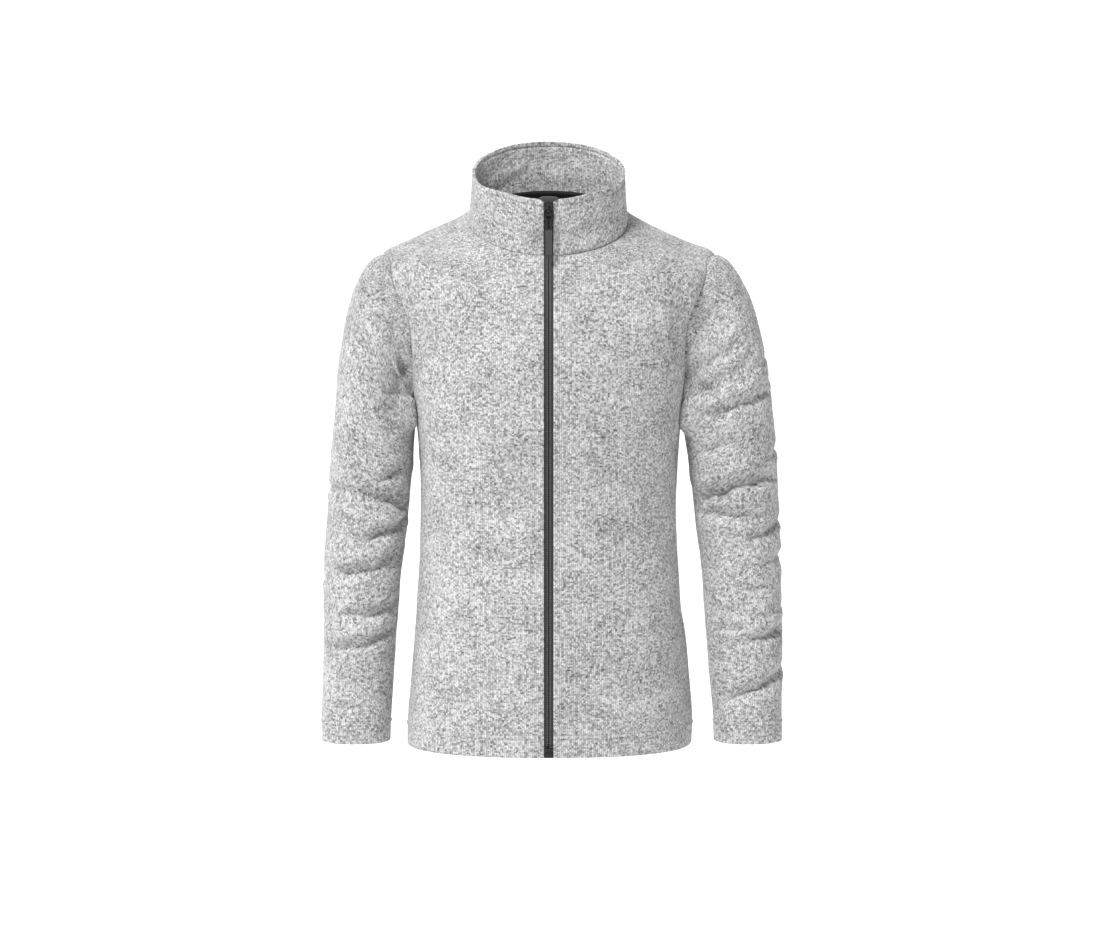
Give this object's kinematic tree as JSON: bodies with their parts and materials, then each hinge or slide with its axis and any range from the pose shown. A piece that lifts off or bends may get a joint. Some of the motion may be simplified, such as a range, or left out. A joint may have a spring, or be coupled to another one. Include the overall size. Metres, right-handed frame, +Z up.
{
  "type": "fleece zip jacket, worn form",
  "caption": "Knit fleece jacket with a stand-up collar and a full front zip, hollow and upright as if worn, with a swinging zip pull.",
  "frame": {"origin": "middle of the neck opening at the height where the shoulder seams meet the collar, where the wearer holds the jacket up", "axes": "+X to the wearer's left, -Y to the front (the zip), +Z up"},
  "size_m": [0.6025, 0.2498, 0.7854],
  "materials": {
    "fleece": "sweater-knit fleece, light grey melange, matt",
    "neck_tape": "woven cotton tape, charcoal",
    "guard": "brushed tricot, mid grey",
    "zip_tape": "woven polyester tape, charcoal",
    "zip_coil": "nylon coil, charcoal",
    "zip_metal": "zinc die casting, glossy black enamel",
    "pull_grip": "moulded rubber, dark grey, matt"
  },
  "bodies": {
    "jacket": {"back": "fleece", "front_left": "fleece", "front_right": "fleece", "sleeve_left": "fleece", "sleeve_right": "fleece", "collar_outer": "fleece", "collar_inner": "fleece", "neck_tape": "neck_tape", "chin_guard": "guard", "zip_tape_left": "zip_tape", "zip_tape_right": "zip_tape", "zip_coil": "zip_coil", "zip_box": "zip_metal", "zip_slider": "zip_metal"},
    "zip_pull": {"pull_link": "zip_metal", "pull_tab": "pull_grip"}
  },
  "joints": [
    {"name": "pull_hinge", "type": "hinge", "parent": "jacket", "child": "zip_pull", "pos_m": [0, -0.08701, 0.0136], "axis": [-1, 0, 0], "range_deg": [-10, 160]}
  ]
}
